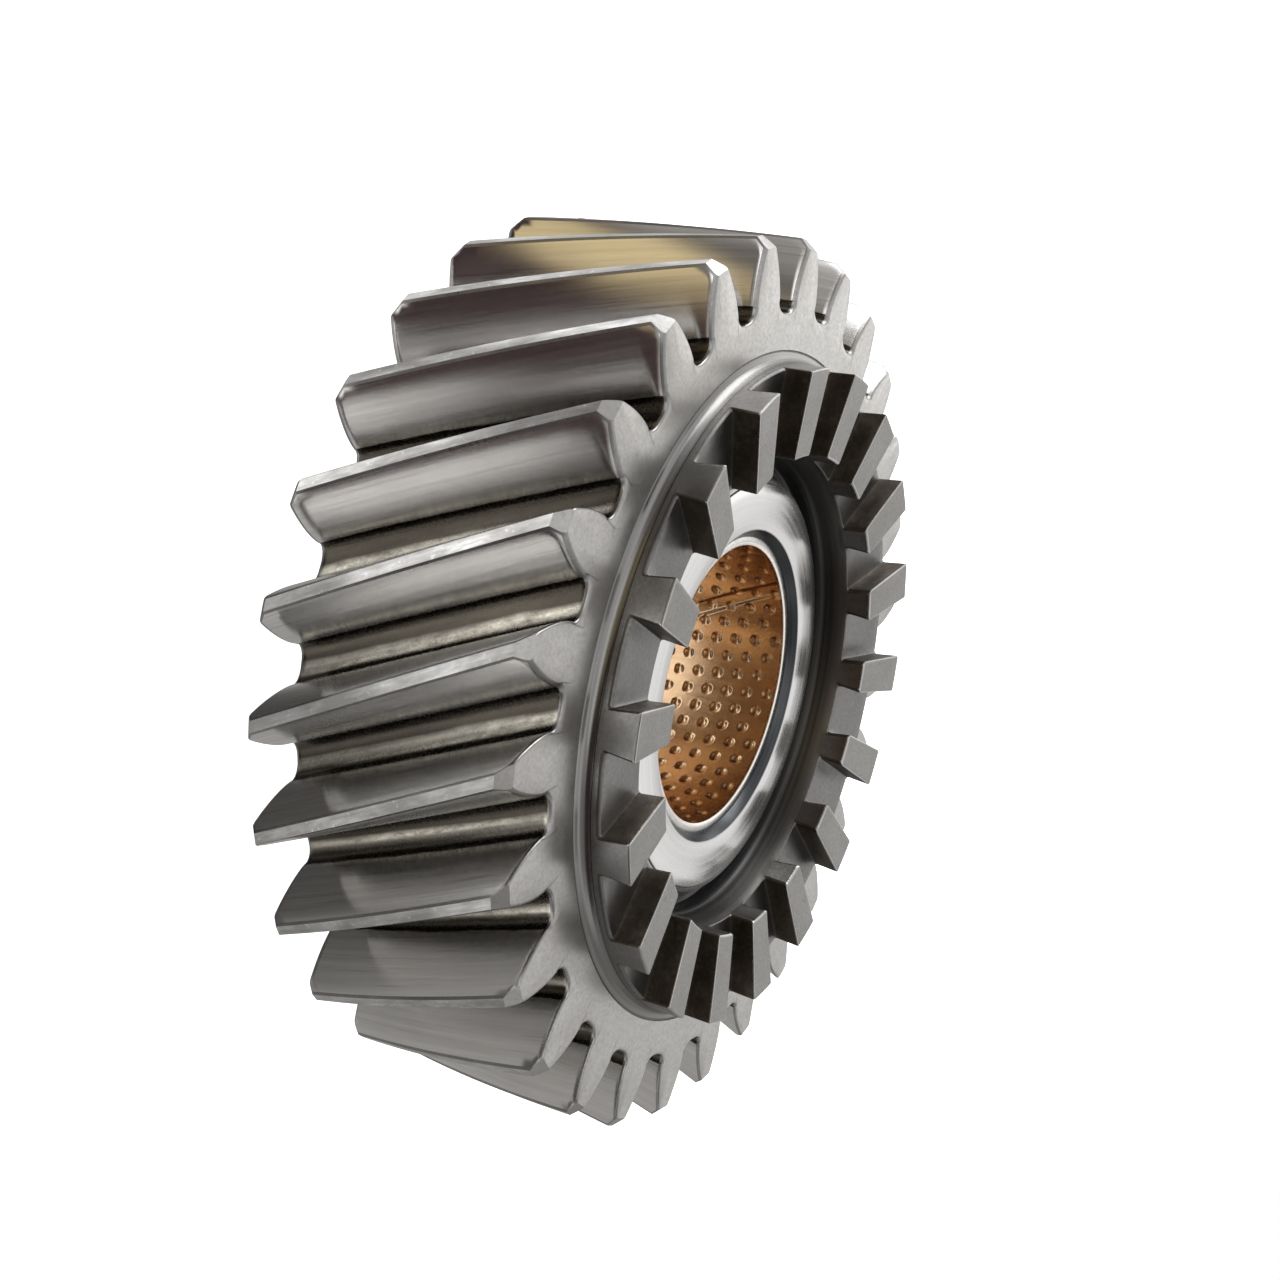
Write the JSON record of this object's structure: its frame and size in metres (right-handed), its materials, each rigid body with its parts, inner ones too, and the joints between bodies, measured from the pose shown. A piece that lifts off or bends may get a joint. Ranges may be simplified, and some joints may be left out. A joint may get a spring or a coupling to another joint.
{
  "type": "helical gear wheel",
  "caption": "Helical gear wheel with a ring of square face clutch teeth on its front and a pressed-in bronze-lined bearing bush in its bore.",
  "frame": {"origin": "on the gear's axis at its plain back face, at the base", "axes": "+Z along the bore axis towards the clutch teeth, +X through the middle of one clutch tooth, +Y completes a right-handed frame"},
  "size_m": [0.143, 0.143, 0.0502],
  "materials": {
    "gear_steel": "ground tooth flanks, satin shot-peened end face, dark unground roots and clutch tooth sides",
    "bush_bronze": "plain bronze running surface with ball-pressed oil pockets, steel back"
  },
  "bodies": {
    "root": {"gear": "gear_steel", "bush": "bush_bronze"}
  },
  "joints": []
}
